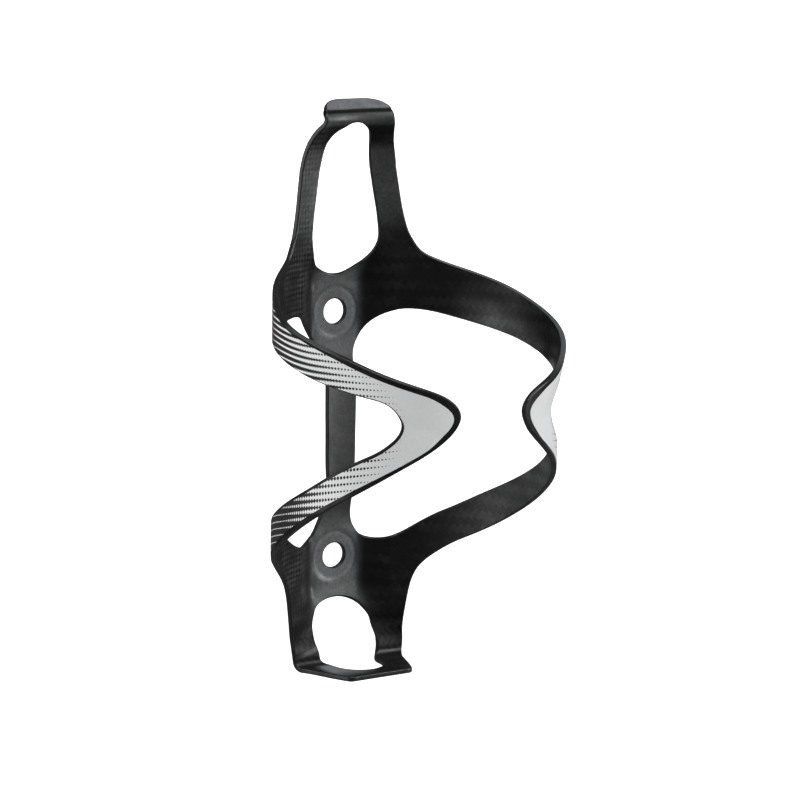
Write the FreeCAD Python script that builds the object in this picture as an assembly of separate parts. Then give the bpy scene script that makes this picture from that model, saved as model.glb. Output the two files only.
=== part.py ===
import FreeCAD, Part
import math
import os

# Carbon-fibre water bottle cage.
#
# Frame: origin midway between the two bolt holes, on the mounting face that bears on the
# bicycle tube. +Z runs up along the bottle, +Y points back to the bicycle tube, and the
# open front of the cage faces -Y. The cage is mirror-symmetric about the plane X = 0.
#
# The laminate is one curved wall around the bottle. A place on the wall is given by two
# numbers: the angle around the bottle's axis in degrees, 0 at the back and growing
# towards +X, and the height z in millimetres. Every piece is a closed outline on that
# wall, given thickness along the wall's normal.

Vec = FreeCAD.Vector
Vec2 = FreeCAD.Base.Vector2d

# ---- Driving dimensions, millimetres and degrees ------------------------------------
bolt_spacing = 64.0          # standard spacing of bottle-cage bolts
bolt_hole_radius = 3.25      # clearance for an M5 bolt, with room to slide
wall = 1.4                   # thickness of the laminate
bottle_axis_y = -38.3        # axis of the bottle, in front of the mounting face
back_radius = 34.0           # middle of the wall to the bottle's axis, at the back
front_radius = 35.1          # the same, in the arms
radius_blend = (42.0, 95.0)  # angles between which the wall goes from one to the other
back_taper = 0.009           # the back is this much narrower per millimetre of height
flare_slope = 0.2            # the upper arms lean out by this much per millimetre
flare_depth = 9.5            # the lean starts this far below the arms' upper edge

pad_radius = 6.4             # flat round pad at the back of each bolt seat
pad_height = 0.2             # it stands this much proud of the wall
seat_half_width = 6.4        # flat strip of the bolt seat, half its width
seat_fade_x = 14.5           # the seat has merged into the round wall here, sideways
seat_half_height = 7.0       # flat part of the bolt seat, half its height
seat_fade_z = 19.0           # and has merged into it here, along the spine

hook_profile = [(69.0, 0.0), (72.0, 0.5), (74.0, 1.0), (76.0, 1.8), (78.0, 3.2),
                (79.5, 4.7), (80.7, 6.2), (82.0, 6.8), (83.6, 6.0), (85.2, 4.6), (86.6, 3.1)]
leg_flat_z = (-49.0, -57.0)  # heights between which the lower legs become flat
leg_flat_y = -8.6            # middle of the wall of the flat lower legs
shelf_top = -58.15           # upper face of the bottom shelf
shelf_thickness = 1.3
shelf_front_y = -25.6
shelf_rear_half = 16.4       # half the shelf's width where it meets the legs
shelf_front_half = 8.6       # half the shelf's width at its front edge
shelf_corner = 1.6           # radius of the shelf's front corners

wing_split = 46.0            # angle at which a wing bends away from the back
wing_gap = 0.5               # angle left open there
hook_split = 50.0            # height at which the upper frame bends
hook_gap = 0.3               # height left open there
bar_end = 18.0               # the spine bar reaches this far above and below the origin
nose_split = 130.0           # angle at which the arms' branches meet the nose
panel_rear = 50.0            # angle at which the printed panel ends at the back
panel_film = 0.12            # thickness of the printed panel
panel_border = 1.45          # bare laminate along the arm's outer edges
panel_border_inner = 0.6     # bare laminate along the edge of the arm's opening

# ---- Outlines on the wall: (angle, height) ------------------------------------------
# Upper edge of the arm, from the foot of the upper leg to the tip of the nose.
arm_upper_edge = [(33.5, 49.9), (36.2, 47.8), (43.4, 45.6), (53.5, 43.7), (66.3, 41.6),
                  (78.4, 39.1), (91.1, 35.9), (105.1, 33.0), (120.3, 29.9), (135.1, 26.3),
                  (147.1, 23.7), (155.2, 21.9), (160.3, 20.3), (163.7, 18.4), (165.3, 16.0)]
# Lower edge of the arm, from the tip of the nose to the foot of the lower leg.
arm_lower_edge = [(165.3, 16.0), (164.3, 13.7), (161.4, 11.2), (156.8, 8.7), (150.6, 6.1),
                  (140.5, 2.4), (130.5, -1.3), (118.4, -5.6), (105.3, -10.4), (92.3, -15.3),
                  (80.4, -19.7), (70.6, -23.1), (60.5, -26.2), (52.4, -28.5), (46.2, -30.7),
                  (40.1, -33.3), (35.7, -36.1), (33.1, -39.5), (31.7, -43.1), (30.3, -48.0),
                  (29.4, -52.0), (28.4, -58.15)]
# Side opening, upper half: from the arms' inner vertex back and down to the spine bar.
window_upper_edge = [(142.3, 13.9), (141.4, 15.8), (138.9, 17.9), (134.7, 19.4), (129.1, 20.2),
                     (120.1, 21.3), (108.0, 22.9), (95.0, 24.8), (81.0, 26.8), (67.0, 28.6),
                     (53.0, 30.4), (42.0, 31.8), (34.0, 32.4), (24.8, 32.0), (18.1, 29.6),
                     (13.8, 26.6), (11.0, 24.0), (8.4, 20.5), (7.6, 16.0), (7.5, 8.0),
                     (7.3, 0.0)]
# Side opening, lower half: from the spine bar out and forward to the inner vertex.
window_lower_edge = [(7.3, 0.0), (7.1, -8.0), (6.5, -15.0), (7.3, -20.1), (9.7, -24.5),
                     (13.9, -27.3), (19.1, -28.0), (23.7, -27.4), (28.4, -26.3), (33.8, -24.5),
                     (39.2, -22.6), (45.2, -20.7), (51.0, -19.1), (63.2, -15.4), (76.5, -11.5),
                     (92.5, -6.5), (103.5, -2.8), (123.4, 4.3), (133.1, 7.3), (138.2, 9.6),
                     (141.1, 11.6), (142.3, 13.9)]
# Outer edge of the upper leg, from its foot to the middle of the hook's top edge.
leg_outer_edge = [(33.5, 49.9), (31.4, 52.0), (29.1, 56.1), (27.6, 60.1), (26.5, 64.1),
                  (25.4, 68.1), (24.2, 72.1), (22.2, 76.1), (19.9, 79.4), (17.9, 81.8),
                  (17.6, 83.8), (15.8, 85.3), (12.4, 86.2), (7.0, 86.6), (0.0, 86.6)]
# Teardrop opening between the upper legs, from its lowest to its highest point.
teardrop_edge = [(0.0, 41.8), (3.8, 42.1), (7.5, 43.0), (11.3, 44.4), (13.9, 46.1), (16.4, 49.0),
                 (17.4, 52.0), (17.0, 55.0), (16.4, 57.9), (15.5, 60.9), (13.8, 66.9),
                 (12.1, 72.9), (11.1, 75.9), (8.4, 78.9), (4.5, 80.5), (0.0, 81.2)]
# Arch between the lower legs, from its highest point to the shelf.
arch_edge = [(0.0, -43.0), (3.7, -43.2), (7.0, -43.8), (10.6, -45.0), (13.1, -46.8),
             (14.8, -48.7), (15.2, -50.7), (15.6, -53.0), (14.9, -55.4), (14.0, -58.15)]
# Opening in the shelf, right half, from the leg to the middle of its front: (x, y).
shelf_opening = [(8.4, -7.9), (6.9, -9.6), (6.5, -12.0), (5.9, -14.5), (4.2, -18.0), (0.0, -20.4)]


def smooth(value, low, high):
    """0 below low, 1 above high, and an even S-curve between them."""
    t = min(1.0, max(0.0, (value - low) / (high - low)))
    return t * t * (3.0 - 2.0 * t)


def along(profile, z):
    """Height-dependent value read from a list of (z, value), by straight lines."""
    if z <= profile[0][0]:
        return profile[0][1]
    for (z0, v0), (z1, v1) in zip(profile, profile[1:]):
        if z <= z1:
            return v0 + (v1 - v0) * (z - z0) / (z1 - z0)
    (z0, v0), (z1, v1) = profile[-2:]
    return v1 + (v1 - v0) / (z1 - z0) * (z - z1)


def upper_edge_height(angle):
    """Height of the arm's upper edge, which falls evenly towards the nose."""
    return 43.8 - 0.2186 * (angle - 54.0)


def wall_point(angle, z):
    """A point on the middle of the wall."""
    side = abs(angle)
    radius = back_radius - back_taper * z
    radius += (front_radius - radius) * smooth(side, *radius_blend)
    lean = flare_slope * max(0.0, z - upper_edge_height(side) + flare_depth)
    radius += lean * smooth(side, 62.0, 100.0) * (1.0 - smooth(side, 148.0, 175.0))
    x = radius * math.sin(math.radians(angle))
    y = bottle_axis_y + radius * math.cos(math.radians(angle))
    if side < 60.0:
        from_bolt = abs(abs(z) - bolt_spacing / 2)
        seat = 1.0 - smooth(abs(x), seat_half_width, seat_fade_x)
        seat *= 1.0 - smooth(from_bolt, seat_half_height, seat_fade_z)
        y += seat * (-pad_height - wall / 2 - y)
        y -= along(hook_profile, z)
        y += smooth(-z, -leg_flat_z[0], -leg_flat_z[1]) * (leg_flat_y - y)
    return Vec(x, y, z)


def wall_offset(angle, z, distance):
    """A point at a distance from the middle of the wall, away from the bottle's axis."""
    step = 0.05
    across = wall_point(angle + step, z) - wall_point(angle - step, z)
    up = wall_point(angle, z + step) - wall_point(angle, z - step)
    return wall_point(angle, z) + up.cross(across).normalize() * distance


grid_angle = 2.0             # spacing of the surface's control points
grid_height = 1.0
margin = 4                   # control points beyond the outline on each side


class Patch:
    """A window of the wall, as two smooth surfaces that share their parameters."""

    def __init__(self, points, inner, outer):
        angles = [p[0] for p in points]
        heights = [p[1] for p in points]
        self.i0 = math.floor(min(angles) / grid_angle) - margin
        self.j0 = math.floor(min(heights) / grid_height) - margin
        self.ni = math.ceil(max(angles) / grid_angle) + margin - self.i0 + 1
        self.nj = math.ceil(max(heights) / grid_height) + margin - self.j0 + 1
        self.surfaces = [self.surface(inner), self.surface(outer)]

    def surface(self, distance):
        """Uniform cubic surface whose control points lie at a distance from the wall."""
        poles = [[wall_offset((self.i0 + i) * grid_angle, (self.j0 + j) * grid_height, distance)
                  for j in range(self.nj)] for i in range(self.ni)]
        result = Part.BSplineSurface()
        result.buildFromPolesMultsKnots(
            poles, [4] + [1] * (self.ni - 4) + [4], [4] + [1] * (self.nj - 4) + [4],
            list(range(self.ni - 2)), list(range(self.nj - 2)), False, False, 3, 3)
        return result

    def place(self, point):
        """The surface's own parameters at an (angle, height)."""
        return Vec2(point[0] / grid_angle - self.i0 - 1, point[1] / grid_height - self.j0 - 1)

    def edges(self, strokes, surface):
        """The outline's edges on one of the two surfaces."""
        result = []
        for points in strokes:
            places = [self.place(p) for p in points]
            if len(places) == 2:
                curve = Part.Geom2d.Line2dSegment(*places)
            else:
                curve = Part.Geom2d.BSplineCurve2d()
                curve.interpolate(places)
            result.append(curve.toShape(surface))
        return result


def sheet(strokes, inner=-wall / 2, outer=wall / 2):
    """Closed solid of the wall inside an outline of strokes, each a list of points."""
    patch = Patch([p for stroke in strokes for p in stroke], inner, outer)
    rims = [patch.edges(strokes, surface) for surface in patch.surfaces]
    faces = [Part.Face(s, Part.Wire(rim)) for s, rim in zip(patch.surfaces, rims)]
    for low, high in zip(*rims):
        faces += Part.makeRuledSurface(low, high).Faces
    skin = Part.makeCompound(faces)
    skin.sewShape(1e-3)
    solid = Part.Solid(skin.Shells[0])
    if solid.Volume < 0:
        solid.reverse()
    return solid


def spline(points):
    """Smooth plane curve through points of (angle, height)."""
    curve = Part.Geom2d.BSplineCurve2d()
    curve.interpolate([Vec2(*p) for p in points])
    return curve


ANGLE, HEIGHT = 0, 1


def stretch(points, start=None, end=None, spacing=1.2):
    """Evenly spaced points along the smooth curve through an outline. start and end are
    (ANGLE or HEIGHT, value) where the stretch is cut, or None for the outline's own end.
    A third item "last" takes the last place with that value instead of the first."""
    curve = spline(points)
    low, high = curve.FirstParameter, curve.LastParameter

    def find(axis, value, which="first"):
        def miss(u):
            return (curve.value(u).x, curve.value(u).y)[axis] - value
        samples = [low + (high - low) * k / 600.0 for k in range(601)]
        if which == "last":
            samples.reverse()
        for a, b in zip(samples, samples[1:]):
            if miss(a) * miss(b) <= 0:
                for _ in range(40):
                    middle = (a + b) / 2
                    if miss(a) * miss(middle) <= 0:
                        b = middle
                    else:
                        a = middle
                return a
        raise ValueError("the outline doesn't reach %g" % value)

    u0 = find(*start) if start else low
    u1 = find(*end) if end else high
    length = curve.length(min(u0, u1), max(u0, u1))
    count = max(4, round(length / spacing))
    values = [curve.value(u0 + (u1 - u0) * k / count) for k in range(count + 1)]
    return [(v.x, v.y) for v in values]


def mirrored(points):
    """The same stroke on the other side of the cage, walked backwards."""
    return [(-angle, z) for angle, z in reversed(points)]


def loop(strokes):
    """Strokes joined into a closed loop, with straight lines across any gaps."""
    result = []
    for stroke, following in zip(strokes, strokes[1:] + strokes[:1]):
        result.append(stroke)
        if math.dist(stroke[-1], following[0]) > 1e-6:
            result.append([stroke[-1], following[0]])
    return result


def mirror_solid(solid):
    """The same piece on the other side of the cage."""
    return solid.mirror(Vec(0, 0, 0), Vec(1, 0, 0))


def finished_seat(solid, z):
    """A bolt seat with its flat pad, which bears on the bicycle tube, and its hole."""
    pad = Part.makeCylinder(pad_radius, wall / 2, Vec(0, -wall / 2, z), Vec(0, 1, 0))
    hole = Part.makeCylinder(bolt_hole_radius, 4 * wall, Vec(0, -3 * wall, z), Vec(0, 1, 0))
    return solid.fuse(pad).cut(hole)


# ---- Back shell: spine bar, bolt seats, lower frame ----------------------------------
def spine_bar():
    """Narrow bar between the two bolt seats."""
    upper = stretch(window_upper_edge, (HEIGHT, bar_end, "last"))
    lower = stretch(window_lower_edge, None, (HEIGHT, -bar_end))
    return sheet(loop([upper, lower, mirrored(lower), mirrored(upper)]))


def upper_bolt_seat():
    """Plate around the upper bolt, with the roots of the upper arms and legs."""
    crotch = stretch(teardrop_edge, None, (HEIGHT, hook_split))
    shoulder = stretch(arm_upper_edge, None, (ANGLE, wing_split))
    armpit = stretch(window_upper_edge, (ANGLE, wing_split), (HEIGHT, bar_end, "last"))
    right = [crotch, shoulder, armpit]
    left = [mirrored(stroke) for stroke in reversed(right)]
    return finished_seat(sheet(loop(right + left)), bolt_spacing / 2)


def lower_bolt_seat():
    """Plate around the lower bolt, with the roots of the lower arms and legs."""
    armpit = stretch(window_lower_edge, (HEIGHT, -bar_end), (ANGLE, wing_split))
    shoulder = stretch(arm_lower_edge, (ANGLE, wing_split), (HEIGHT, leg_flat_z[0]))
    crotch = stretch(arch_edge, (HEIGHT, leg_flat_z[0]), (HEIGHT, arch_edge[0][1]))
    right = [armpit, shoulder, crotch]
    left = [mirrored(stroke) for stroke in reversed(right)]
    return finished_seat(sheet(loop(right + left)), -bolt_spacing / 2)


def lower_leg():
    """Right lower leg, from the bolt seat down to the shelf."""
    outer = stretch(arm_lower_edge, (HEIGHT, leg_flat_z[0]))
    inner = stretch(arch_edge, (HEIGHT, leg_flat_z[0]))
    return sheet(loop([outer, inner[::-1]]))


def bottom_shelf():
    """Level ledge under the bottle, a tapered tongue with an opening in it."""
    rear = leg_flat_y + wall / 2
    z = shelf_top - shelf_thickness
    curve = Part.BSplineCurve()
    half = [Vec(x, y, z) for x, y in shelf_opening]
    curve.interpolate(half + [Vec(-p.x, p.y, p.z) for p in reversed(half[:-1])])
    corners = [Vec(-shelf_opening[0][0], rear, z), Vec(-shelf_rear_half, rear, z),
               Vec(-shelf_front_half, shelf_front_y, z), Vec(shelf_front_half, shelf_front_y, z),
               Vec(shelf_rear_half, rear, z), Vec(shelf_opening[0][0], rear, z)]
    lines = [Part.LineSegment(a, b).toShape() for a, b in zip(corners, corners[1:])]
    plate = Part.Face(Part.Wire([curve.toShape()] + lines)).extrude(Vec(0, 0, shelf_thickness))
    front = [e for e in plate.Edges
             if all(abs(v.Y - shelf_front_y) < 0.01 for v in e.Vertexes)
             and abs(e.Vertexes[0].X - e.Vertexes[-1].X) < 0.01]
    return plate.makeFillet(shelf_corner, front)


# ---- Upper frame: two legs and the hook they carry ------------------------------------
leg_top = 74.0               # height at which the legs meet the hook


def upper_leg():
    """Right leg of the upper frame."""
    foot, top = (HEIGHT, hook_split + hook_gap), (HEIGHT, leg_top)
    outer = stretch(leg_outer_edge, foot, top)
    inner = stretch(teardrop_edge, foot, top)
    return sheet(loop([outer, inner[::-1]]))


def top_hook():
    """Hook that closes the upper frame and leans over the bottle's neck."""
    outer = stretch(leg_outer_edge, (HEIGHT, leg_top))
    inner = stretch(teardrop_edge, (HEIGHT, leg_top))
    return sheet(loop([outer, mirrored(outer), mirrored(inner[::-1]), inner[::-1]]))


# ---- Wings: each is two branches that meet in a nose, with a printed panel -----------
def upper_arm():
    """Right upper branch, from the back shell to the nose."""
    rear, front = (ANGLE, wing_split + wing_gap), (ANGLE, nose_split)
    top = stretch(arm_upper_edge, rear, front)
    bottom = stretch(window_upper_edge, front, rear)
    return sheet(loop([top, bottom]))


def lower_arm():
    """Right lower branch, from the back shell to the nose."""
    rear, front = (ANGLE, wing_split + wing_gap), (ANGLE, nose_split)
    bottom = stretch(arm_lower_edge, front, rear)
    top = stretch(window_lower_edge, rear, front)
    return sheet(loop([bottom, top]))


def nose():
    """Right nose, where the two branches meet in front of the bottle."""
    rear = (ANGLE, nose_split)
    top = stretch(arm_upper_edge, rear)
    bottom = stretch(arm_lower_edge, None, rear)
    inner_low = stretch(window_lower_edge, rear)
    inner_high = stretch(window_upper_edge, None, rear)
    return sheet(loop([top, bottom, inner_low, inner_high]))


def inset(points, distance):
    """The stroke moved to its right-hand side by a distance along the wall."""
    scale = math.radians(1.0) * front_radius
    result = []
    for k, (angle, z) in enumerate(points):
        before, after = points[max(k - 1, 0)], points[min(k + 1, len(points) - 1)]
        da, dz = (after[0] - before[0]) * scale, after[1] - before[1]
        length = math.hypot(da, dz)
        result.append((angle + dz / length * distance / scale, z - da / length * distance))
    return result


def graphic_panel():
    """Right printed film on the arm's outer face, inside a bare border."""
    rear = (ANGLE, panel_rear)
    top = inset(stretch(arm_upper_edge, rear), panel_border)
    bottom = inset(stretch(arm_lower_edge, None, rear), panel_border)
    inner_low = inset(stretch(window_lower_edge, rear), panel_border_inner)
    inner_high = inset(stretch(window_upper_edge, None, rear), panel_border_inner)
    tip = (top[-1][0], (top[-1][1] + bottom[0][1]) / 2)
    vertex = (inner_low[-1][0], (inner_low[-1][1] + inner_high[0][1]) / 2)
    outer_rim = top[:-1] + [tip] + bottom[1:]
    inner_rim = inner_low[:-1] + [vertex] + inner_high[1:]
    return sheet(loop([outer_rim, inner_rim]), wall / 2, wall / 2 + panel_film)


# ---- Write every piece ------------------------------------------------------------------
pieces = {
    "spine_bar": spine_bar(),
    "upper_bolt_seat": upper_bolt_seat(),
    "lower_bolt_seat": lower_bolt_seat(),
    "bottom_shelf": bottom_shelf(),
    "top_hook": top_hook(),
}
paired = {
    "lower_leg": lower_leg(),
    "upper_leg": upper_leg(),
    "upper_arm": upper_arm(),
    "lower_arm": lower_arm(),
    "nose": nose(),
    "graphic_panel": graphic_panel(),
}
for name, solid in paired.items():
    pieces["right_" + name] = solid
    pieces["left_" + name] = mirror_solid(solid)

os.makedirs("parts", exist_ok=True)
for name, solid in sorted(pieces.items()):
    box = solid.BoundBox
    print("%-22s valid %s solids %d volume %8.2f  x %.1f..%.1f  y %.1f..%.1f  z %.1f..%.1f" % (
        name, solid.isValid(), len(solid.Solids), solid.Volume,
        box.XMin, box.XMax, box.YMin, box.YMax, box.ZMin, box.ZMax))
    solid.exportStep("parts/" + name + ".step")
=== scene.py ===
import bmesh
import bpy
import math
import numpy as np
from mathutils import Matrix, Vector
from mathutils.geometry import delaunay_2d_cdt


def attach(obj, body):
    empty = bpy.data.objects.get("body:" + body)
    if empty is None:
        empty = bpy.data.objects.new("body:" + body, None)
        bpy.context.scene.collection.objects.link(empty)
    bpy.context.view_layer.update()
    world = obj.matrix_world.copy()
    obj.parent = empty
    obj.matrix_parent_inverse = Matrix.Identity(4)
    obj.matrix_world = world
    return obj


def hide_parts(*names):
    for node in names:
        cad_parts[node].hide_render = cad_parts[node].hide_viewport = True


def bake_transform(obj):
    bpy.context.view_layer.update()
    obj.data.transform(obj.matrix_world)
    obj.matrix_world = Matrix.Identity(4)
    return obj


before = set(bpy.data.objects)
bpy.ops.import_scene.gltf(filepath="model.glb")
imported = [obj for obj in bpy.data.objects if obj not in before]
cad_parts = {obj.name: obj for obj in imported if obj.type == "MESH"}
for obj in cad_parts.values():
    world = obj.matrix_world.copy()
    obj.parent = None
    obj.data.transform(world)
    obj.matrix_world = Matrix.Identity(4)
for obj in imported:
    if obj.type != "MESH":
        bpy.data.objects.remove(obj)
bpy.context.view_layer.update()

# The cage is one wall of laminate round the bottle. A place on the wall is (angle, height):
# degrees round the bottle's axis, 0 at the back, and millimetres. Lengths here are in
# millimetres until the meshes are made, which are in metres.
MM = 0.001
WALL = 1.4
AXIS_Y = -38.3
BOLT_Z = 32.0
BOLT_R = 3.25
RIM = 0.42                  # rounding of the laminate's edges
DEGREE = 0.61               # millimetres of wall in one degree, near enough

# A pair of numbers is where a smooth step begins and ends. The wall's radius passes from the
# back's, which loses TAPER in each millimetre of height, to the wings' between two angles.
BACK_RADIUS, TAPER, WING_RADIUS = 34.0, 0.009, 35.1
WIDENING = (42.0, 95.0)
# The wings lean outwards from LEAN_BELOW under a line along their upper edges. The line has a
# height at an angle, and falls by so much in each degree.
LEAN, LEAN_BELOW = 0.2, 9.5
LEAN_HEIGHT, LEAN_ANGLE, LEAN_FALL = 43.8, 54.0, 0.2186
LEAN_STARTS, LEAN_ENDS = (62.0, 100.0), (148.0, 175.0)
# Round each bolt the back is flat, with a round seat in front and a pad behind.
FLAT_HALF, FLAT_REACH = (6.4, 14.5), (7.0, 19.0)
SEAT_STEP = 0.3             # depth of the round seat under each bolt's head
SEAT_IN, SEAT_OUT = (6.1, 7.3), (7.3, 13.0)
PAD = 0.2                   # height of the round pad behind each bolt hole
PAD_EDGE = (6.1, 6.7)
# How far the hook leans forward at each height.
HOOK = [(69.0, 0.0), (72.0, 0.5), (74.0, 1.0), (76.0, 1.8), (78.0, 3.2), (79.5, 4.7),
        (80.7, 6.2), (82.0, 6.8), (83.1, 6.3), (83.6, 5.6), (84.15, 5.85), (84.7, 5.2),
        (86.6, 3.1), (89.0, 0.5)]
BACK_ANGLE = 60.0           # the flats, the hook and the lower legs lie within this angle
PLAN_LOW = -57.4            # the wall's plan stays the same below this height
LEG_FLAT = (49.0, 56.4)     # the lower legs become flat between these depths
LEG_Y = -8.6                # where they stand then
SHELF_Z = -58.8             # middle of the shelf's thickness
BEND = 1.9                  # radius of the bend from the legs into the shelf

ARM_UPPER = [(33.5, 49.9), (36.2, 47.8), (43.4, 45.6), (53.5, 43.7), (66.3, 41.6), (78.4, 39.1),
             (91.1, 35.9), (105.1, 33.0), (120.3, 29.9), (135.1, 26.3), (147.1, 23.7),
             (155.2, 21.9), (160.3, 20.3), (163.7, 18.4), (165.3, 16.0)]
ARM_LOWER = [(165.3, 16.0), (164.3, 13.7), (161.4, 11.2), (156.8, 8.7), (150.6, 6.1),
             (140.5, 2.4), (130.5, -1.3), (118.4, -5.6), (105.3, -10.4), (92.3, -15.3),
             (80.4, -19.7), (70.6, -23.1), (60.5, -26.2), (52.4, -28.5), (46.2, -30.7),
             (40.1, -33.3), (35.7, -36.1), (33.1, -39.5), (31.7, -43.1), (30.3, -48.0),
             (29.4, -52.0), (28.4, -58.15)]
WINDOW_UPPER = [(142.3, 13.9), (141.4, 15.8), (138.9, 17.9), (134.7, 19.4), (129.1, 20.2),
                (120.1, 21.3), (108.0, 22.9), (95.0, 24.8), (81.0, 26.8), (67.0, 28.6),
                (53.0, 30.4), (42.0, 31.8), (34.0, 32.4), (24.8, 32.0), (18.1, 29.6),
                (13.8, 26.6), (11.0, 24.0), (8.4, 20.5), (7.6, 16.0), (7.5, 8.0), (7.3, 0.0)]
WINDOW_LOWER = [(7.3, 0.0), (7.1, -8.0), (6.5, -15.0), (7.3, -20.1), (9.7, -24.5), (13.9, -27.3),
                (19.1, -28.0), (23.7, -27.4), (28.4, -26.3), (33.8, -24.5), (39.2, -22.6),
                (45.2, -20.7), (51.0, -19.1), (63.2, -15.4), (76.5, -11.5), (92.5, -6.5),
                (103.5, -2.8), (123.4, 4.3), (133.1, 7.3), (138.2, 9.6), (141.1, 11.6),
                (142.3, 13.9)]
LEG_OUTER = [(33.5, 49.9), (31.4, 52.0), (29.1, 56.1), (27.6, 60.1), (26.5, 64.1), (25.4, 68.1),
             (24.2, 72.1), (22.2, 76.1), (19.9, 79.4), (17.9, 81.8), (17.6, 83.8), (15.8, 85.3),
             (12.4, 86.2), (7.0, 86.6), (0.0, 86.6)]
TEARDROP = [(0.0, 41.8), (3.8, 42.1), (7.5, 43.0), (11.3, 44.4), (13.9, 46.1), (16.4, 49.0),
            (17.4, 52.0), (17.0, 55.0), (16.4, 57.9), (15.5, 60.9), (13.8, 66.9), (12.1, 72.9),
            (11.1, 75.9), (8.4, 78.9), (4.5, 80.5), (0.0, 81.2)]
ARCH = [(0.0, -43.0), (3.7, -43.2), (7.0, -43.8), (10.6, -45.0), (13.1, -46.8), (14.8, -48.7),
        (15.2, -50.7), (15.6, -53.0), (14.9, -55.4), (14.0, -58.15)]
# The legs run on into the shelf: below the bend the height counts on along the sheet.
SHELF_SIDE = [(28.3, -57.5), (27.0, -59.6), (25.1, -61.5), (22.2, -65.5), (19.5, -69.6),
              (16.9, -73.0)]
SHELF_FRONT = [(15.5, -74.2), (14.0, -74.5), (12.2, -74.5), (9.0, -74.5), (4.5, -74.5),
               (0.0, -74.5)]
SHELF_INNER = [(14.2, -57.4), (12.5, -59.0), (11.5, -60.6), (11.2, -62.4), (10.3, -64.8),
               (8.2, -67.3), (4.6, -69.1), (0.0, -69.8)]

SEAM_ANGLE = 40.0           # the wings' meshes start here, and their roots bend beyond it
SEAM_HEIGHT = 47.5          # and the upper frame's mesh starts here
SPACING = 0.75              # between the points inside a mesh
EDGE_SPACING = 0.5          # and along its edges
NEAREST = 0.62              # of SPACING, the least from an inner point to an edge
ROW_STEP = 0.866            # of SPACING, from one row of inner points to the next
CHUNK = 1000                # points tested at a time, which keeps the arrays small
KNOTS = 0.7                 # power of the chords' lengths that spaces an outline's knots
FINE = 400                  # steps in each stretch of an outline when it is measured
EDGE_TURNS = np.radians([60.0, 30.0, 0.0, 0.0, -30.0, -60.0])   # round the rim, outside first
UV_SPAN = 400.0             # millimetres of unrolled wall across the UV map

FILM_REAR = 50.0            # the printed film starts at this angle
# Bare border outside and inside the print, each (at the root, at the nose).
FILM_OUTER_TOP, FILM_OUTER_LOW = (0.8, 1.45), (1.25, 0.95)
FILM_INNER_TOP, FILM_INNER_LOW = (0.45, 0.45), (0.8, 0.8)
FILM_TOP_SPAN, FILM_LOW_SPAN = (95.0, 132.0), (125.0, 145.0)     # angles where they change
FILM_MIDDLE = (12.0, 17.0)  # heights between the lower border and the upper one
FILM_TIP, FILM_TIP_SPAN = 0.6, (152.0, 162.0)       # the border is wider at the nose's tip
FILM_RAISED, FILM_HALF, FILM_ROUNDING = 0.01, 0.03, 0.02
FILM_STEP = 3               # every third point of the wing's outline shapes the film's


def smooth(value, low, high):
    t = np.clip((value - low) / (high - low), 0.0, 1.0)
    return t * t * (3.0 - 2.0 * t)


# The hook's profile at every 0.1 mm of height, smoothed over seven of them.
hook_z = np.arange(60.0, 92.0, 0.1)
hook_y = np.interp(hook_z, [p[0] for p in HOOK], [p[1] for p in HOOK])
hook_y = np.convolve(np.pad(hook_y, 3, mode="edge"), np.ones(7) / 7, mode="valid")


def wall(places):
    """Points on the middle of the wall, from an array of (angle, height)."""
    angle, s = places[:, 0], places[:, 1]
    side, z = np.abs(angle), np.maximum(s, PLAN_LOW)
    radius = BACK_RADIUS - TAPER * z
    radius = radius + (WING_RADIUS - radius) * smooth(side, *WIDENING)
    edge = LEAN_HEIGHT - LEAN_FALL * (side - LEAN_ANGLE)
    lean = LEAN * np.maximum(0.0, z - edge + LEAN_BELOW)
    radius = radius + lean * smooth(side, *LEAN_STARTS) * (1.0 - smooth(side, *LEAN_ENDS))
    x = radius * np.sin(np.radians(angle))
    y = AXIS_Y + radius * np.cos(np.radians(angle))
    flat = 1.0 - smooth(np.abs(x), *FLAT_HALF)
    flat = flat * (1.0 - smooth(np.abs(np.abs(z) - BOLT_Z), *FLAT_REACH))
    back = y + flat * (-PAD - WALL / 2 - y)
    from_bolt = np.hypot(x, np.abs(z) - BOLT_Z)
    back = back - SEAT_STEP * (smooth(from_bolt, *SEAT_IN) - smooth(from_bolt, *SEAT_OUT))
    back = back - np.interp(z, hook_z, hook_y)
    back = back + smooth(-z, *LEG_FLAT) * (LEG_Y - back)
    y = np.where(side < BACK_ANGLE, back, y)
    down = np.maximum(0.0, SHELF_Z + BEND - s)
    turn = np.minimum(down / BEND, math.pi / 2)
    y = y - BEND * (1.0 - np.cos(turn)) - np.maximum(0.0, down - BEND * math.pi / 2)
    z = np.where(down > 0, SHELF_Z + BEND - BEND * np.sin(turn), s)
    return np.stack([x, y, z], axis=1)


def unit(v):
    return v / np.linalg.norm(v, axis=1, keepdims=True)


def wall_frame(places):
    """(point, normal away from the bottle, step per degree, step per millimetre of height)."""
    d = 0.02                # degrees and millimetres
    across = (wall(places + [d, 0]) - wall(places - [d, 0])) / (2 * d)
    up = (wall(places + [0, d]) - wall(places - [0, d])) / (2 * d)
    return wall(places), unit(np.cross(up, across)), across, up


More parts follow.
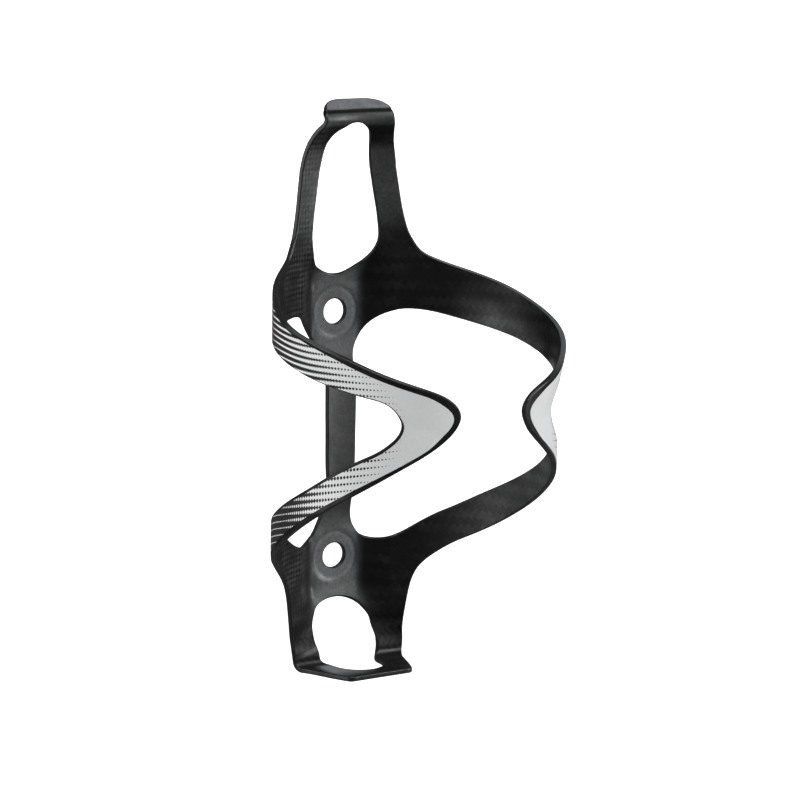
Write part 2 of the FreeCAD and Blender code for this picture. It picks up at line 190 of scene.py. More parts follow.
class Loop:
    """A closed outline: a smooth periodic curve through its points, cut at the seams."""

    def __init__(self, points, hole, cuts=True):
        self.p = np.array(points, float) * [DEGREE, 1.0]
        self.n = n = len(self.p)
        ahead = np.roll(self.p, -1, axis=0) - self.p
        self.h = np.linalg.norm(ahead, axis=1) ** KNOTS
        before = np.roll(self.h, 1)
        a = np.zeros((n, n))
        rows = np.arange(n)
        a[rows, rows] = 2 * (before + self.h)
        a[rows, (rows - 1) % n] += before
        a[rows, (rows + 1) % n] += self.h
        slope = ahead / self.h[:, None]
        self.m = np.linalg.solve(a, 6 * (slope - np.roll(slope, 1, axis=0)))
        t = np.linspace(0, n, FINE * n + 1)
        dense = self.at(t)[0]
        area = 0.5 * np.sum(dense[:-1, 0] * dense[1:, 1] - dense[1:, 0] * dense[:-1, 1])
        self.sign = (1.0 if area > 0 else -1.0) * (-1.0 if hole else 1.0)
        self.stretches = self.divided(t, dense, self.crossings(dense) if cuts else [])

    def divided(self, t, dense, marks):
        """Even steps along the outline: (parameters, whether closed) of each stretch."""
        steps = np.linalg.norm(np.diff(dense, axis=0), axis=1)
        lengths = np.concatenate([[0], np.cumsum(steps)])
        total, last = lengths[-1], len(t) - 1
        spans = list(zip(marks, marks[1:] + [marks[0] + last])) if marks else [(0, last)]
        stretches = []
        for a, b in spans:
            start = lengths[a]
            end = lengths[b] if b <= last else total + lengths[b - last]
            count = max(3, round((end - start) / EDGE_SPACING))
            where = (start + (end - start) * np.arange(count + 1) / count) % total
            if marks:
                here = np.interp(where, lengths, t)
                here[0], here[-1] = t[a], t[b % last]
            else:
                here = np.interp(where[:-1], lengths, t)
            stretches.append((here, not marks))
        return stretches

    def at(self, t):
        """Points and tangents of the curve, in millimetres of unrolled wall."""
        i = np.floor(t).astype(int) % self.n
        j = (i + 1) % self.n
        h = self.h[i][:, None]
        b = (t - np.floor(t))[:, None]
        a = 1 - b
        point = a * self.p[i] + b * self.p[j] + h * h / 6 * (
            (a ** 3 - a) * self.m[i] + (b ** 3 - b) * self.m[j])
        tangent = (self.p[j] - self.p[i]) / h + h / 6 * (
            (1 - 3 * a * a) * self.m[i] + (3 * b * b - 1) * self.m[j])
        return point, tangent

    def crossings(self, dense):
        """Numbers of the dense points where the outline crosses a seam."""
        u, v = dense[:, 0], dense[:, 1]
        found = []
        for side in (-SEAM_ANGLE * DEGREE, SEAM_ANGLE * DEGREE):
            found += list(np.nonzero((u[:-1] < side) != (u[1:] < side))[0])
        level = np.nonzero((v[:-1] < SEAM_HEIGHT) != (v[1:] < SEAM_HEIGHT))[0]
        found += [k for k in level if abs(u[k]) < SEAM_ANGLE * DEGREE]
        return sorted(int(k) for k in found)


def region(u, v):
    """Which mesh a place belongs to."""
    if u > SEAM_ANGLE * DEGREE:
        return "right_wing"
    if u < -SEAM_ANGLE * DEGREE:
        return "left_wing"
    return "upper_frame" if v > SEAM_HEIGHT else "back"


def edge_frame(loop, here, inset):
    """For places along an outline: (place moved inwards, outward direction there)."""
    point, tangent = loop.at(here)
    places = point / [DEGREE, 1.0]
    _, normal, across, up = wall_frame(places)
    along = unit(across * (tangent[:, :1] / DEGREE) + up * tangent[:, 1:])
    out = np.cross(normal, along) * loop.sign
    aa, bb = np.sum(across * across, axis=1), np.sum(up * up, axis=1)
    ab = np.sum(across * up, axis=1)
    ra, rb = np.sum(across * out, axis=1), np.sum(up * out, axis=1)
    det = aa * bb - ab * ab
    step = np.stack([(ra * bb - rb * ab) / det, (rb * aa - ra * ab) / det], axis=1)
    return places - step * np.reshape(inset, (-1, 1)), out


def inside(points, edges):
    """Even-odd test of points against a set of edges, each (u0, v0, u1, v1)."""
    result = np.zeros(len(points), bool)
    for k in range(0, len(points), CHUNK):
        u, v = points[k:k + CHUNK, 0][:, None], points[k:k + CHUNK, 1][:, None]
        u0, v0, u1, v1 = edges.T[:, None, :]
        crosses = (v0 > v) != (v1 > v)
        at = u0 + (v - v0) * (u1 - u0) / np.where(v1 == v0, 1e-12, v1 - v0)
        result[k:k + CHUNK] = np.sum(crosses & (u < at), axis=1) % 2 == 1
    return result


def mesh_points(outline, lines):
    """Points inside an outline, in staggered rows that make nearly equal-sided triangles."""
    low, high = outline.min(axis=0), outline.max(axis=0)
    across = np.arange(low[0], high[0], SPACING)
    rows = []
    for k, v in enumerate(np.arange(low[1], high[1], SPACING * ROW_STEP)):
        rows.append(np.stack([across + SPACING / 2 * (k % 2), np.full(len(across), v)], axis=1))
    grid = np.concatenate(rows)
    grid = grid[inside(grid, lines)]
    near = [np.min(np.linalg.norm(grid[k:k + CHUNK, None] - outline[None], axis=2), axis=1)
            for k in range(0, len(grid), CHUNK)]
    return grid[np.concatenate(near) > SPACING * NEAREST]


def flat_mesh(rims, seams):
    """The unrolled mesh between rims and seams: (points, triangles, each rim's numbers)."""
    flat, edges, chains = [], [], []
    lookup = {}

    def add(place):
        key = (round(place[0] * 1e4), round(place[1] * 1e4))
        if key not in lookup:
            lookup[key] = len(flat)
            flat.append((place[0] * DEGREE, place[1]))
        return lookup[key]

    for places, _, closed in rims:
        chain = [add(p) for p in places]
        chains.append(chain)
        edges += list(zip(chain, chain[1:] + chain[:1] if closed else chain[1:]))
    for a, b in seams:
        count = max(2, round(np.linalg.norm((b - a) * [DEGREE, 1]) / SPACING))
        chain = [add(a + (b - a) * k / count) for k in range(count + 1)]
        edges += list(zip(chain, chain[1:]))
    lines = np.array([(*flat[a], *flat[b]) for a, b in edges])
    grid = mesh_points(np.array(flat), lines)
    made = delaunay_2d_cdt([Vector(p) for p in flat] + [Vector(p) for p in grid], edges, [],
                           0, 1e-6)
    points = np.array([tuple(p) for p in made[0]])
    triangles = np.array(made[2])
    triangles = triangles[inside(points[triangles].mean(axis=1), lines)]
    corner, second, third = (points[triangles[:, k]] for k in range(3))
    a, b = second - corner, third - corner
    turned = (a[:, 0] * b[:, 1] - a[:, 1] * b[:, 0]) > 0
    triangles[turned] = triangles[turned][:, ::-1]
    number = {old: new for new, olds in enumerate(made[3]) for old in olds}
    return points, triangles, [np.array([number[k] for k in chain]) for chain in chains]


def mesh_object(name, verts, faces, normals, where):
    """A smooth object with its own normals. where is stored as the attribute "place"."""
    mesh = bpy.data.meshes.new(name)
    mesh.from_pydata([tuple(v) for v in verts], [], [tuple(int(i) for i in f) for f in faces])
    mesh.validate()
    # Faces whose winding disagrees with the normals are turned round.
    flip = []
    for polygon in mesh.polygons:
        mean = normals[list(polygon.vertices)].sum(axis=0)
        if polygon.normal.dot(Vector(mean)) < 0:
            flip.append(polygon.index)
    bm = bmesh.new()
    bm.from_mesh(mesh)
    bm.faces.ensure_lookup_table()
    bmesh.ops.reverse_faces(bm, faces=[bm.faces[k] for k in flip])
    bm.to_mesh(mesh)
    bm.free()
    mesh.shade_smooth()
    mesh.normals_split_custom_set_from_vertices([tuple(v) for v in normals])
    attribute = mesh.attributes.new("place", "FLOAT_VECTOR", "POINT")
    attribute.data.foreach_set("vector", where.astype(np.float32).ravel())
    uv = mesh.uv_layers.new(name="UVMap")
    corners = np.zeros(len(mesh.loops), int)
    mesh.loops.foreach_get("vertex_index", corners)
    spread = where[corners][:, :2] / UV_SPAN + 0.5
    uv.data.foreach_set("uv", spread.astype(np.float32).ravel())
    obj = bpy.data.objects.new(name, mesh)
    bpy.context.scene.collection.objects.link(obj)
    return obj


def solid_sheet(name, rims, seams, middle=0.0, half=WALL / 2, rounding=RIM):
    """A sheet with rounded edges. rims are (places, outward directions, closed), seams are
    straight lines between places where the sheet runs on into the next mesh."""
    points, triangles, chains = flat_mesh(rims, seams)
    base, normal, _, _ = wall_frame(points / [DEGREE, 1.0])
    n = len(base)
    from_bolt = np.hypot(base[:, 0], np.abs(base[:, 2]) - BOLT_Z)
    pad = (PAD * (1.0 - smooth(from_bolt, *PAD_EDGE)))[:, None]
    verts = [base + normal * (middle + half + pad), base + normal * (middle - half)]
    normals = [normal, -normal]
    where = [np.column_stack([points, np.ones(n)]), np.column_stack([points, -np.ones(n)])]
    faces = [tuple(t) for t in triangles] + [tuple(t[::-1] + n) for t in triangles]
    centres = np.repeat([1.0, -1.0], 3) * (half - rounding)
    total = 2 * n
    for (_, out, closed), ids in zip(rims, chains):
        m = len(ids)
        rings = [ids]
        for turn, centre in zip(EDGE_TURNS, centres):
            ring_normal = out * math.cos(turn) + normal[ids] * math.sin(turn)
            lift = centre + (pad[ids] if centre > 0 else 0.0)
            verts.append(base[ids] + normal[ids] * (middle + lift) + ring_normal * rounding)
            normals.append(ring_normal)
            where.append(np.column_stack([points[ids], np.full(m, math.sin(turn) * 0.5)]))
            rings.append(np.arange(total, total + m))
            total += m
        rings.append(ids + n)
        for upper, lower in zip(rings, rings[1:]):
            for k in range(m if closed else m - 1):
                j = (k + 1) % m
                faces.append((upper[k], upper[j], lower[j], lower[k]))
    return mesh_object(name, np.concatenate(verts) * MM, faces, unit(np.concatenate(normals)),
                       np.concatenate(where))


def both(points):
    """An outline's right half and its mirror image, as one closed list."""
    left = [(-a, z) for a, z in reversed(points)]
    return points + left[1:-1]


# ---- Outlines ----------------------------------------------------------------------------
outer_right = (SHELF_FRONT[::-1] + SHELF_SIDE[::-1] + ARM_LOWER[::-1][1:-1] + ARM_UPPER[::-1]
               + LEG_OUTER[1:])
circle = [(math.degrees(math.asin(BOLT_R * math.cos(a) / BACK_RADIUS)), BOLT_R * math.sin(a))
          for a in np.radians(np.arange(0, 360, 30))]
window = WINDOW_UPPER + WINDOW_LOWER[1:-1]
loops = {
    "outer": Loop(both(outer_right), hole=False),
    "right_window": Loop(window, hole=True),
    "left_window": Loop([(-a, z) for a, z in window], hole=True),
    "teardrop": Loop(both(TEARDROP), hole=True),
    "arch": Loop(both(ARCH[:-1] + SHELF_INNER), hole=True),
    "upper_bolt": Loop([(a, z + BOLT_Z) for a, z in circle], hole=True),
    "lower_bolt": Loop([(a, z - BOLT_Z) for a, z in circle], hole=True),
}
rims = {"back": [], "upper_frame": [], "left_wing": [], "right_wing": []}
ends = {"left": [], "right": [], "level": []}
for loop in loops.values():
    for here, closed in loop.stretches:
        places, out = edge_frame(loop, here, RIM)
        middle = loop.at(here[len(here) // 2:len(here) // 2 + 1])[0][0]
        rims[region(*middle)].append((places, out, closed))
        if not closed:
            u, v = loop.at(here[:1])[0][0]
            level = abs(v - SEAM_HEIGHT) < 0.1 and abs(u) < SEAM_ANGLE * DEGREE - 0.2
            kind = "level" if level else ("right" if u > 0 else "left")
            ends[kind].append(places[0])


def pairs(points, axis):
    """Seam lines between the outlines' crossings, in order along the seam."""
    order = sorted(points, key=lambda p: p[axis])
    return list(zip(order[::2], order[1::2]))


left_seams, right_seams = pairs(ends["left"], 1), pairs(ends["right"], 1)
level_seams = pairs(ends["level"], 0)
back = solid_sheet("back_laminate", rims["back"], left_seams + right_seams + level_seams)
upper_frame = solid_sheet("upper_frame_laminate", rims["upper_frame"], level_seams)
left_wing = solid_sheet("left_wing_laminate", rims["left_wing"], left_seams)
right_wing = solid_sheet("right_wing_laminate", rims["right_wing"], right_seams)


# ---- Printed films on the wings' outer faces ------------------------------------------------
def film(name, side):
    """The printed film of one wing: its outline follows the wing's, inside a bare border."""
    outline = []
    for loop, low, high in ((loops["outer"], FILM_OUTER_LOW, FILM_OUTER_TOP),
                            (loops[side + "_window"], FILM_INNER_LOW, FILM_INNER_TOP)):
        for here, _ in loop.stretches:
            middle = loop.at(here[len(here) // 2:len(here) // 2 + 1])[0][0]
            if region(*middle) == side + "_wing":
                u, v = loop.at(here)[0].T
                angle = np.abs(u) / DEGREE
                top = high[0] + (high[1] - high[0]) * smooth(angle, *FILM_TOP_SPAN)
                base = low[0] + (low[1] - low[0]) * smooth(angle, *FILM_LOW_SPAN)
                width = base + (top - base) * smooth(v, *FILM_MIDDLE)
                width = width + FILM_TIP * smooth(angle, *FILM_TIP_SPAN)
                places, _ = edge_frame(loop, here, width)
                outline.append(places[np.abs(places[:, 0]) > FILM_REAR])
    first, second = outline
    if np.linalg.norm(first[-1] - second[0]) > np.linalg.norm(first[-1] - second[-1]):
        second = second[::-1]
    joined = [tuple(p) for p in first[::FILM_STEP]] + [tuple(first[-1])]
    joined += [tuple(p) for p in second[::FILM_STEP]] + [tuple(second[-1])]
    loop = Loop(joined, hole=False, cuts=False)
    places, out = edge_frame(loop, loop.stretches[0][0], FILM_ROUNDING)
    return solid_sheet(name, [(places, out, True)], [], middle=WALL / 2 + FILM_RAISED,
                       half=FILM_HALF, rounding=FILM_ROUNDING)


left_film = film("left_film", "left")
right_film = film("right_film", "right")


# ---- Materials ----------------------------------------------------------------------------
# On the unrolled wall u runs across, from the middle of the back, and v runs up, both in
# millimetres. A pair of numbers is where a soft edge begins and ends.
TOW = 1.5                   # width of a carbon tow
SLANT = 0.7071              # share of u and of v along a tow, which runs at 45 degrees
FAR = 400.0                 # keeps the count of tows positive all over the wall
# Tones of the dark and the light tows, and of the light tows under a painted highlight.
TOW_DARK, TOW_LIGHT, TOW_HIGHLIGHT = 0.0015, 0.008, 0.036
DIAMOND = 2.7               # pitch of the tows' pattern under the painted highlight
WEAVE_SHOWS = (7.0, 13.0)   # the weave is fainter along the spine
SEAT_DISC, SEAT_RING = (6.4, 7.0), (5.2, 5.9)       # distances from a bolt's axis
# Painted reflections on the bolts' seats, their rings, the spine and the plate round each bolt.
SEAT_SHEEN, RING_SHEEN, STRIP_SHEEN, PLATE_SHEEN = 0.025, 0.025, 0.038, 0.085
# Painted sheen on the upper legs, the hook's band and the right wing's arms, and a painted
# highlight on the hook's lip.
LEG_SHEEN, LIP_HIGHLIGHT, BAND_SHEEN, ARM_SHEEN = 0.034, 0.145, 0.036, 0.04
# Painted highlights on the shelf, the crease and the corner by the nose, and painted shade in the
# hook's groove.
SHELF_HIGHLIGHT, CREASE_HIGHLIGHT, CORNER_HIGHLIGHT, GROOVE_SHADE = 0.2, 0.07, 0.1, 0.003
ARM_SLOPE = 0.358           # fall of the upper arm's painted sheen along the wall
EDGE_TONE, EDGE_HIGHLIGHT = 0.014, 0.09        # the rim's tone, and a painted highlight where its top faces the light
CARBON_TINT, PRINT_TINT = (0.97, 1.0, 1.03), (0.985, 0.995, 1.0)
EDGE_GLOSS = 0.3                            # roughness of the rim
SPECULAR, SPECULAR_DULL = 0.45, 0.12
CARBON_COAT, PRINT_COAT = 0.2, 0.15         # roughness of the clear coats
ROW_UPPER, ROW_LOWER = 24.05, 0.85          # height of one row of dots on each branch
ROW_PITCH = (1.53, 1.66)                    # upper, lower
DOT_PITCH = 0.85
ROW_ANGLE, ROW_RISE, ROW_CURVE = 137.0, 0.097, 0.00055   # the lower rows rise up to this angle
NOSE_V = 13.5                               # height of the nose's tip
FRONT_ANGLE, FRONT_CURVE, FRONT_MOST = 144.5, 0.07, 20.0  # where the plain nose ends
LOSS = (1 / 55.0, 1 / 41.0)                 # share of the silver lost in a degree: upper, lower
LINE_LEAST = 0.08                           # least threshold, so that thin silver lines stay
PRINT_GREY, PRINT_WHITE, INK_TONE = 0.78, 0.8, 0.018


class Nodes:
    """Short names for building a material's node tree."""

    def __init__(self, name):
        self.material = bpy.data.materials.new(name)
        self.material.use_nodes = True
        self.tree = self.material.node_tree
        self.shader = self.tree.nodes["Principled BSDF"]
        place = self.new("ShaderNodeAttribute", attribute_name="place")
        self.place = place.outputs["Vector"]
        split = self.new("ShaderNodeSeparateXYZ")
        self.feed(split.inputs[0], self.place)
        self.u, self.v, self.side = split.outputs

    def new(self, kind, **settings):
        node = self.tree.nodes.new(kind)
        for key, value in settings.items():
            setattr(node, key, value)
        return node

    def feed(self, socket, value):
        """Give a socket a fixed value, or link another node's output to it."""
        if isinstance(value, (int, float, tuple)):
            socket.default_value = value
        else:
            self.tree.links.new(value, socket)

    def set(self, name, value):
        self.feed(self.shader.inputs[name], value)

    def math(self, operation, *values):
        node = self.new("ShaderNodeMath", operation=operation)
        for socket, value in zip(node.inputs, values):
            self.feed(socket, value)
        return node.outputs[0]

    def plus(self, first, *others):
        for other in others:
            first = self.math("ADD", first, other)
        return first

    def minus(self, a, b):
        return self.math("SUBTRACT", a, b)

    def times(self, first, *others):
        for other in others:
            first = self.math("MULTIPLY", first, other)
        return first

    def ramp(self, value, low, high, to_low=0.0, to_high=1.0):
        node = self.new("ShaderNodeMapRange", interpolation_type="SMOOTHSTEP")
        names = ("Value", "From Min", "From Max", "To Min", "To Max")
        for key, amount in zip(names, (value, low, high, to_low, to_high)):
            self.feed(node.inputs[key], amount)
        return node.outputs["Result"]

    def fall(self, value, low, high):
        return self.ramp(value, low, high, 1.0, 0.0)

    def span(self, value, begins, ends):
        """1 between two soft edges, 0 outside them."""
        return self.times(self.ramp(value, *begins), self.fall(value, *ends))

    def mix(self, factor, a, b):
        node = self.new("ShaderNodeMix", data_type="FLOAT")
        for socket, value in zip(node.inputs[:1] + node.inputs[2:4], (factor, a, b)):
            self.feed(socket, value)
        return node.outputs[0]

    def grey(self, value, tint):
        node = self.new("ShaderNodeCombineColor")
        for socket, amount in zip(node.inputs, tint):
            self.feed(socket, self.times(value, amount))
        return node.outputs[0]

    def noise(self, scale, detail, stretch=(1.0, 1.0, 1.0)):
        """Noise between 0 and 1 over the unrolled wall, scale in features per millimetre."""
        mapping = self.new("ShaderNodeMapping")
        self.feed(mapping.inputs["Vector"], self.place)
        self.feed(mapping.inputs["Scale"], stretch)
        node = self.new("ShaderNodeTexNoise")
        self.feed(node.inputs["Vector"], mapping.outputs[0])
        self.feed(node.inputs["Scale"], scale)
        self.feed(node.inputs["Detail"], detail)
        return node.outputs[0]

    def wave(self, value, pitch):
        return self.math("COSINE", self.times(value, 2 * math.pi / pitch))

    def ripple(self, value, pitch):
        """A wave between 0 and 1."""
        return self.plus(0.5, self.times(self.wave(value, pitch), 0.5))

    def weave(self):
        """(which tow is on top, height) of a 2x2 twill at 45 degrees."""
        a, b = (self.plus(self.times(self.math(way, self.u, self.v), SLANT / TOW), FAR)
                for way in ("ADD", "SUBTRACT"))
        step = self.minus(self.math("FLOOR", a), self.math("FLOOR", b))
        on_top = self.math("LESS_THAN", self.math("FLOORED_MODULO", step, 4.0), 1.5)
        crowns = []
        for value in (a, b):
            centred = self.minus(self.math("FRACT", value), 0.5)
            crowns.append(self.minus(1.0, self.times(centred, centred, 4.0)))
        return on_top, self.mix(on_top, *crowns)

    def bump(self, height, distance, base=None):
        node = self.new("ShaderNodeBump")
        self.feed(node.inputs["Distance"], distance)
        self.feed(node.inputs["Height"], height)
        if base is not None:
            self.feed(node.inputs["Normal"], base)
        return node.outputs[0]


def carbon(name):
    """Clear-coated twill of carbon tows, with soft blotches, and painted highlights, sheen and
    shade in zones.
    """
    m = Nodes(name)
    u, v = m.u, m.v
    width, height = m.math("ABSOLUTE", u), m.math("ABSOLUTE", v)
    on_top, crown = m.weave()
    blotch = m.noise(0.16, 4.0)
    fine = m.noise(1.6, 3.0)
    fibres = m.noise(6.0, 2.0, (1.0, 0.12, 1.0))
    reach = m.ramp(width, *WEAVE_SHOWS, 0.3, 1.0)
    shown = m.times(on_top, reach)
    woven = m.times(shown, m.ramp(blotch, 0.35, 0.62, 0.25, 1.0))
    # A painted highlight catches the tows on one side of the spine only, where they look like
    # diamonds.
    caught_highlight = m.times(m.span(u, (-30.0, -24.0), (-13.0, -5.0)), m.ramp(v, -48.0, -36.0, 0.35, 1.0))
    diamonds = m.times(m.wave(m.plus(u, v), DIAMOND), m.wave(m.minus(u, v), DIAMOND))
    diamonds = m.times(m.ramp(diamonds, -0.35, 0.35), m.ramp(blotch, 0.35, 0.62, 0.5, 1.0))
    tone = m.mix(m.mix(caught_highlight, woven, diamonds), TOW_DARK, m.mix(caught_highlight, TOW_LIGHT, TOW_HIGHLIGHT))
    tone = m.times(tone, m.ramp(blotch, 0.3, 0.72, 0.6, 1.5))

    # Round the bolts and along the spine a painted reflection makes the carbon paler.
    seat = m.minus(height, BOLT_Z)
    from_bolt = m.math("SQRT", m.plus(m.times(u, u), m.times(seat, seat)))
    disc = m.fall(from_bolt, *SEAT_DISC)
    ring = m.times(disc, m.ramp(from_bolt, *SEAT_RING))
    strip = m.times(m.fall(width, 4.8, 9.6), m.fall(height, 43.0, 50.0))
    strip_sheen = m.mix(m.fall(m.math("ABSOLUTE", seat), 8.0, 15.0), STRIP_SHEEN, PLATE_SHEEN)
    # The upper legs, the hook's band and the right wing's arms get painted sheen, and the hook's
    # lip a painted highlight.
    legs = m.span(v, (51.0, 60.0), (73.0, 76.5))
    band = m.span(v, (80.2, 81.6), (82.9, 83.6))
    groove = m.span(v, (82.9, 83.4), (83.9, 84.4))
    lip = m.ramp(v, 84.0, 84.5)
    upper = m.times(m.span(u, (28.0, 44.0), (52.0, 68.0)), m.ramp(v, 10.0, 14.0),
                    m.fall(m.plus(v, m.times(u, ARM_SLOPE)), 46.5, 52.0))
    lower = m.times(m.ramp(u, 18.0, 50.0), m.fall(v, 4.0, 8.0))
    checks = m.plus(0.85, m.times(on_top, 0.25))
    arms = m.times(m.plus(upper, lower), checks)
    # Painted highlights: the shelf beside its opening, the crease above it and the right wing's
    # upper arm by the nose.
    shelf = m.times(m.span(u, (-13.0, -10.0), (-5.0, 2.0)),
                    m.span(v, (-74.5, -67.0), (-62.5, -59.5)))
    crease = m.plus(v, m.times(u, m.ramp(u, -1.0, 1.0, -0.2, 0.1)))
    crease = m.minus(crease, m.ramp(u, -1.0, 1.0, -52.6, -56.3))
    crease = m.times(m.fall(m.math("ABSOLUTE", crease), 0.2, 0.8),
                     m.ramp(width, 14.0, 16.0, 1.0, 0.2))
    corner = m.times(m.span(u, (66.0, 69.0), (72.0, 75.0)), m.span(v, (17.0, 19.0), (22.0, 24.5)))
    # The painted highlights, sheen and reflections are summed and added to the carbon's tone.
    painted_light = m.plus(*(m.times(zone, amount) for zone, amount in (
        (disc, SEAT_SHEEN), (ring, RING_SHEEN), (strip, strip_sheen), (legs, LEG_SHEEN),
        (arms, ARM_SHEEN), (lip, LIP_HIGHLIGHT), (band, BAND_SHEEN), (shelf, SHELF_HIGHLIGHT),
        (crease, CREASE_HIGHLIGHT), (corner, CORNER_HIGHLIGHT))))
    tone = m.plus(tone, m.times(painted_light, m.ramp(blotch, 0.3, 0.7, 0.85, 1.15)))
    tone = m.times(tone, m.ramp(fine, 0.2, 0.8, 0.75, 1.25))
    edge = m.fall(m.math("ABSOLUTE", m.side), 0.5, 0.98)
    # A painted highlight on the rim above a height, in a stretch on the left and on the right
    # wing.
    rim_highlight = m.times(m.ramp(u, -74.0, -68.0), m.ramp(u, -60.0, -54.0, 0.7, 0.0))
    rim_highlight = m.times(m.plus(rim_highlight, m.ramp(u, 15.0, 30.0)), m.ramp(v, 22.0, 27.0))
    tone = m.mix(edge, tone, m.mix(rim_highlight, EDGE_TONE, EDGE_HIGHLIGHT))
    # The groove under the hook's lip gets painted shade, a near-black colour.
    m.set("Base Color", m.grey(m.mix(groove, tone, GROOVE_SHADE), CARBON_TINT))

    rough = m.plus(m.ramp(blotch, 0.25, 0.75, 0.5, 0.36), m.times(shown, -0.08),
                   m.times(fine, 0.08))
    m.set("Roughness", m.mix(edge, rough, EDGE_GLOSS))
    # The groove under the hook's lip and the feet of the lower legs hardly shine.
    foot = m.span(v, (-57.6, -56.8), (-50.0, -45.0))
    dull = m.math("MAXIMUM", groove, m.times(foot, 0.8))
    m.set("Specular IOR Level", m.mix(dull, SPECULAR, SPECULAR_DULL))
    m.set("Coat Weight", m.times(m.minus(1.0, dull), m.ramp(fine, 0.2, 0.8, 0.12, 0.22)))
    m.set("Coat Roughness", CARBON_COAT)
    relief = m.bump(m.times(crown, reach), 0.03 * MM)
    relief = m.bump(fibres, 0.012 * MM, relief)
    m.set("Normal", m.bump(blotch, 0.12 * MM, relief))
    return m.material


def print_film(name):
    """Silver print: rows of dots that grow away from the nose until only white lines stay."""
    m = Nodes(name)
    side = m.math("ABSOLUTE", m.u)
    angle = m.math("DIVIDE", side, DEGREE)
    low = m.fall(m.v, 9.0, 13.0)
    # Rows rise towards the nose on the lower branch, and near the root on the upper one.
    behind = m.minus(ROW_ANGLE, angle)
    sag = m.plus(m.times(behind, ROW_RISE), m.times(behind, behind, ROW_CURVE))
    lifted = m.plus(m.v, m.mix(low, m.ramp(angle, 78.0, 108.0, -1.0, 0.0), sag))
    row = m.ripple(m.math("DIVIDE", m.minus(lifted, m.mix(low, ROW_UPPER, ROW_LOWER)),
                          m.mix(low, *ROW_PITCH)), 1.0)
    dot = m.ripple(side, DOT_PITCH)
    off_nose = m.minus(m.v, NOSE_V)
    front = m.minus(FRONT_ANGLE, m.math("MINIMUM", FRONT_MOST,
                                        m.times(off_nose, off_nose, FRONT_CURVE)))
    gone = m.minus(front, angle)
    lost = m.times(gone, m.mix(low, *LOSS))
    threshold = m.math("MAXIMUM", m.minus(1.0, lost), LINE_LEAST)
    # The dots run together into lines further from the nose.
    beads = m.times(m.mix(low, 0.3, m.ramp(gone, 8.0, 16.0, 0.25, 0.4)),
                    m.ramp(gone, 30.0, 42.0, 1.0, 0.3))
    ink = m.ramp(m.minus(m.mix(beads, row, dot), threshold), -0.025, 0.025)
    speck = m.noise(1.2, 4.0)
    silver = m.mix(m.ramp(gone, -10.0, 30.0), PRINT_GREY, PRINT_WHITE)
    silver = m.times(silver, m.ramp(speck, 0.2, 0.8, 0.975, 1.02))
    m.set("Base Color", m.grey(m.mix(ink, silver, INK_TONE), PRINT_TINT))
    m.set("Roughness", m.plus(m.mix(ink, 0.42, 0.34), m.times(speck, 0.1)))
    m.set("Coat Weight", 0.25)
    m.set("Coat Roughness", PRINT_COAT)
    m.set("Normal", m.bump(m.noise(0.6, 4.0), 0.05 * MM))
    return m.material


frame_carbon = carbon("carbon_frame")
wing_carbon = carbon("carbon_wings")
silver_print = print_film("printed_silver")
for material, pieces in ((frame_carbon, (back, upper_frame)),
                         (wing_carbon, (left_wing, right_wing)),
                         (silver_print, (left_film, right_film))):
    for obj in pieces:
        obj.data.materials.append(material)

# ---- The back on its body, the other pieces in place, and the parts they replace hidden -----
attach(back, "back_shell")
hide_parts("spine_bar", "upper_bolt_seat", "lower_bolt_seat", "left_lower_leg",
            "right_lower_leg", "bottom_shelf")
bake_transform(upper_frame)
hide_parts("left_upper_leg", "right_upper_leg", "top_hook")


for sign, side, wing, print_ in ((1, "right", right_wing, right_film),
                                 (-1, "left", left_wing, left_film)):
    for obj in (wing, print_):
        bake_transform(obj)
    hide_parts(side + "_upper_arm", side + "_lower_arm", side + "_nose")
    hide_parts(side + "_graphic_panel")


# ---- Studio ----------------------------------------------------------------------------------
FLOOR_Z, FLOOR_FRONT, STAGE_HALF, WALL_Y, WALL_TOP = -0.5, -0.42, 6.0, 3.5, 3.0
ROOM, ROOM_Z = 7.0, -0.6
STAGE_GLOW, WORLD_GLOW = 1.0, 0.07
SOFTBOXES = [               # name, azimuth, elevation, distance, width, height, watts
    ("key_top", -20.0, 64.0, 1.3, 1.1, 0.9, 12.0),
    ("left", -100.0, 8.0, 1.3, 0.5, 1.2, 4.0),
    ("front_right", 48.0, 12.0, 1.5, 0.5, 1.3, 14.5),
]
LIGHT_AIM, CAMERA_AIM = Vector((0.0, -0.038, 0.01)), Vector((0.0, -0.038, 0.0))

white = bpy.data.materials.new("studio_white")
white.use_nodes = True
shader = white.node_tree.nodes["Principled BSDF"]
shader.inputs["Base Color"].default_value = (0.9, 0.9, 0.9, 1.0)
shader.inputs["Roughness"].default_value = 0.9
shader.inputs["Emission Color"].default_value = (1.0, 1.0, 1.0, 1.0)
shader.inputs["Emission Strength"].default_value = STAGE_GLOW


def studio_piece(name, corners, faces):
    """A part of the studio, which isn't part of the object and makes no reflections."""
    mesh = bpy.data.meshes.new(name)
    mesh.from_pydata(corners, [], faces)
    mesh.materials.append(white)
    obj = bpy.data.objects.new(name, mesh)
    bpy.context.scene.collection.objects.link(obj)
    obj.visible_glossy = False
    return obj


floor = studio_piece("floor", [
    (-STAGE_HALF, FLOOR_FRONT, FLOOR_Z), (STAGE_HALF, FLOOR_FRONT, FLOOR_Z),
    (STAGE_HALF, WALL_Y, FLOOR_Z), (-STAGE_HALF, WALL_Y, FLOOR_Z)], [(0, 1, 2, 3)])
backdrop = studio_piece("backdrop", [
    (-STAGE_HALF, WALL_Y, FLOOR_Z), (STAGE_HALF, WALL_Y, FLOOR_Z),
    (STAGE_HALF, WALL_Y, WALL_TOP), (-STAGE_HALF, WALL_Y, WALL_TOP)], [(0, 1, 2, 3)])
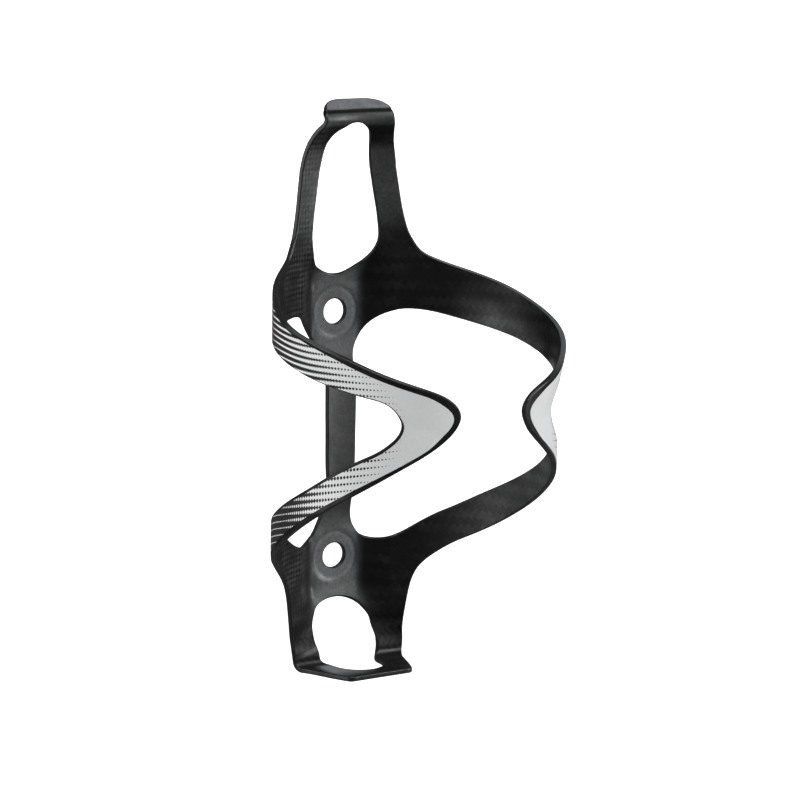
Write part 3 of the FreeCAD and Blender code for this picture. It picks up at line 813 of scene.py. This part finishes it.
# A pale room round it all, which gives the other views their background and lights nothing.
room = studio_piece("room", [
    (x, y, z) for x in (-ROOM, ROOM) for y in (-ROOM, ROOM) for z in (ROOM_Z, ROOM)], [
    (0, 1, 3, 2), (4, 6, 7, 5), (0, 4, 5, 1), (2, 3, 7, 6), (0, 2, 6, 4), (1, 5, 7, 3)])
room.visible_diffuse = False
room.visible_shadow = False

world = bpy.data.worlds.new("studio")
bpy.context.scene.world = world
world.use_nodes = True
background = world.node_tree.nodes["Background"]
background.inputs["Color"].default_value = (1.0, 1.0, 1.0, 1.0)
background.inputs["Strength"].default_value = WORLD_GLOW


def softbox(name, azimuth, elevation, distance, width, height, power):
    """A rectangular light round the cage. Azimuth 0 is in front of it and 90 to its right."""
    a, e = math.radians(azimuth), math.radians(elevation)
    place = distance * Vector((math.sin(a) * math.cos(e), -math.cos(a) * math.cos(e),
                               math.sin(e)))
    data = bpy.data.lights.new(name, "AREA")
    data.shape = "RECTANGLE"
    data.size, data.size_y = width, height
    data.energy = power
    light = bpy.data.objects.new(name, data)
    light.location = place + LIGHT_AIM
    light.rotation_mode = "QUATERNION"
    light.rotation_quaternion = (-place).to_track_quat("-Z", "Y")
    bpy.context.scene.collection.objects.link(light)


for box in SOFTBOXES:
    softbox(*box)

# ---- Camera -----------------------------------------------------------------------------------
# It looks at a point of the cage from azimuth and elevation, then turns off it by pan and tilt.
azimuth, elevation, roll = math.radians(33.346), math.radians(10.528), math.radians(-0.479)
pan, tilt = math.radians(0.2319), math.radians(-1.0654)
distance = 0.750
back_way = Vector((-math.sin(azimuth) * math.cos(elevation),
                   -math.cos(azimuth) * math.cos(elevation), math.sin(elevation)))
right_way = Vector((math.cos(azimuth), -math.sin(azimuth), 0.0))
up_way = back_way.cross(right_way)
place = CAMERA_AIM + back_way * distance
turn = Matrix.Rotation(pan, 3, up_way)
back_way, right_way = turn @ back_way, turn @ right_way
back_way = Matrix.Rotation(-tilt, 3, right_way) @ back_way
up_way = back_way.cross(right_way)
right_way, up_way = (right_way * math.cos(roll) - up_way * math.sin(roll),
                     right_way * math.sin(roll) + up_way * math.cos(roll))
data = bpy.data.cameras.new("camera")
data.sensor_width = 36.0
data.lens = 135.88
data.clip_start, data.clip_end = 0.05, 50.0
camera = bpy.data.objects.new("camera", data)
matrix = Matrix((right_way, up_way, back_way)).transposed().to_4x4()
matrix.translation = place
camera.matrix_world = matrix
bpy.context.scene.collection.objects.link(camera)
bpy.context.scene.camera = camera
bpy.context.scene.view_settings.view_transform = "Standard"

bpy.context.view_layer.update()
